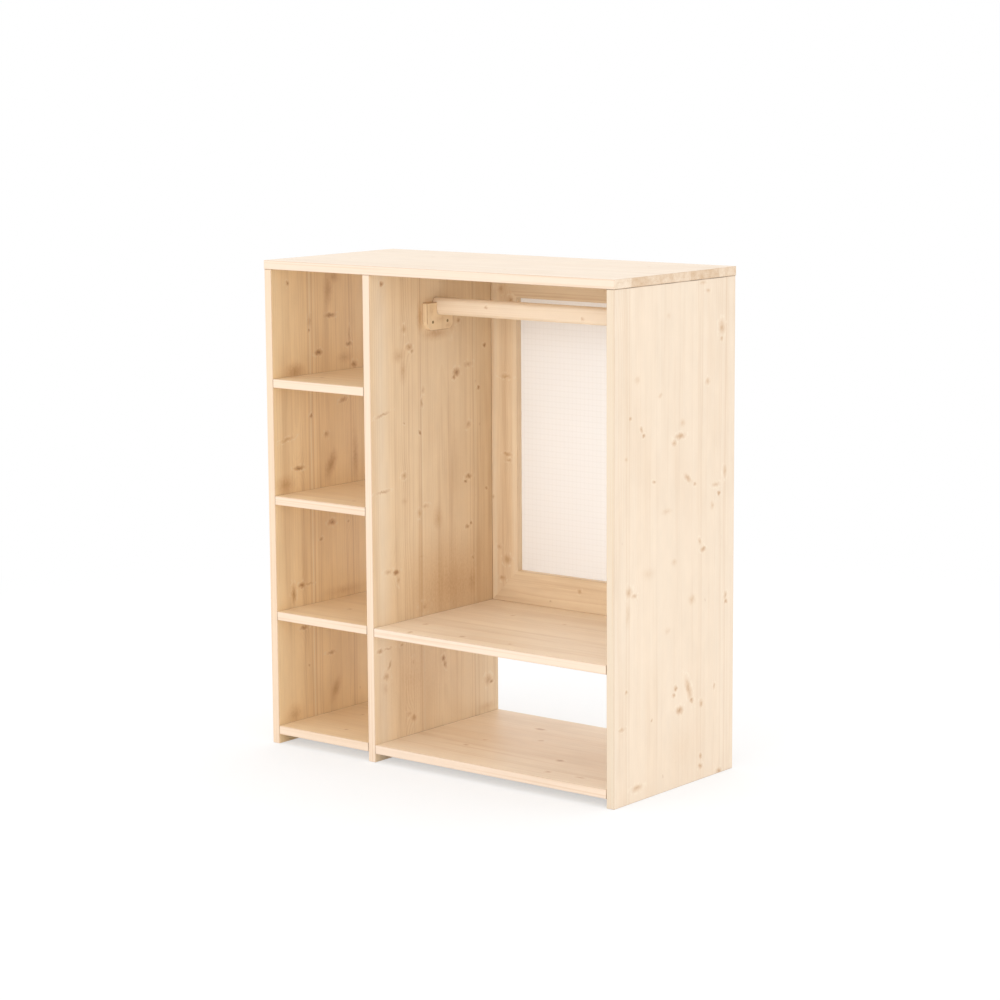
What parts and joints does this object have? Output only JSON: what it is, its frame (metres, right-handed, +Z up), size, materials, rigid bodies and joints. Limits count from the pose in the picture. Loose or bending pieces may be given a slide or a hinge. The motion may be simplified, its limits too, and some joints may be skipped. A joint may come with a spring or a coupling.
{
  "type": "children's dressing-up storage unit",
  "caption": "Low spruce unit for dressing-up clothes: open shelves on the left, a hanging rail on the right, an open compartment below it and a framed safety mirror at its back.",
  "frame": {"origin": "on the floor, under the middle of the top panel", "axes": "+X to the right seen from the front, +Y to the back, +Z up"},
  "size_m": [0.88, 0.4, 1],
  "materials": {
    "board_spruce": "edge-glued knotty spruce, clear matt lacquer",
    "bracket_wood": "solid spruce, clear matt lacquer",
    "rail_wood": "pale solid spruce, clear matt lacquer",
    "frame_spruce": "solid spruce, mitred, clear matt lacquer",
    "dowel_beech": "plain beech dowel, glued",
    "mirror_acrylic": "acrylic safety mirror",
    "safety_film": "white film with a fine woven grid",
    "screw_steel": "dull yellow-zinc countersunk screw"
  },
  "bodies": {
    "carcass": {"left_side": "board_spruce", "divider": "board_spruce", "right_side": "board_spruce", "top_panel": "board_spruce", "left_shelf_upper": "board_spruce", "left_shelf_middle": "board_spruce", "left_shelf_lower": "board_spruce", "left_shelf_bottom": "board_spruce", "right_shelf": "board_spruce", "right_shelf_bottom": "board_spruce", "top_dowels": "dowel_beech", "left_shelf_dowels": "dowel_beech", "right_shelf_dowels": "dowel_beech", "rail_bracket_left": "bracket_wood", "rail_bracket_right": "bracket_wood", "bracket_screws": "screw_steel", "mirror_frame_left": "frame_spruce", "mirror_frame_right": "frame_spruce", "mirror_frame_top": "frame_spruce", "mirror_frame_bottom": "frame_spruce", "mitre_dowels": "dowel_beech", "frame_dowels": "dowel_beech", "mirror_sheet": "mirror_acrylic", "mirror_safety_film": "safety_film", "mirror_screws": "screw_steel"},
    "rail": {"hanging_rail": "rail_wood"}
  },
  "joints": [
    {"name": "rail_lift", "type": "slide", "parent": "carcass", "child": "rail", "axis": [0, 0, 1], "range_m": [0, 0.05]}
  ]
}
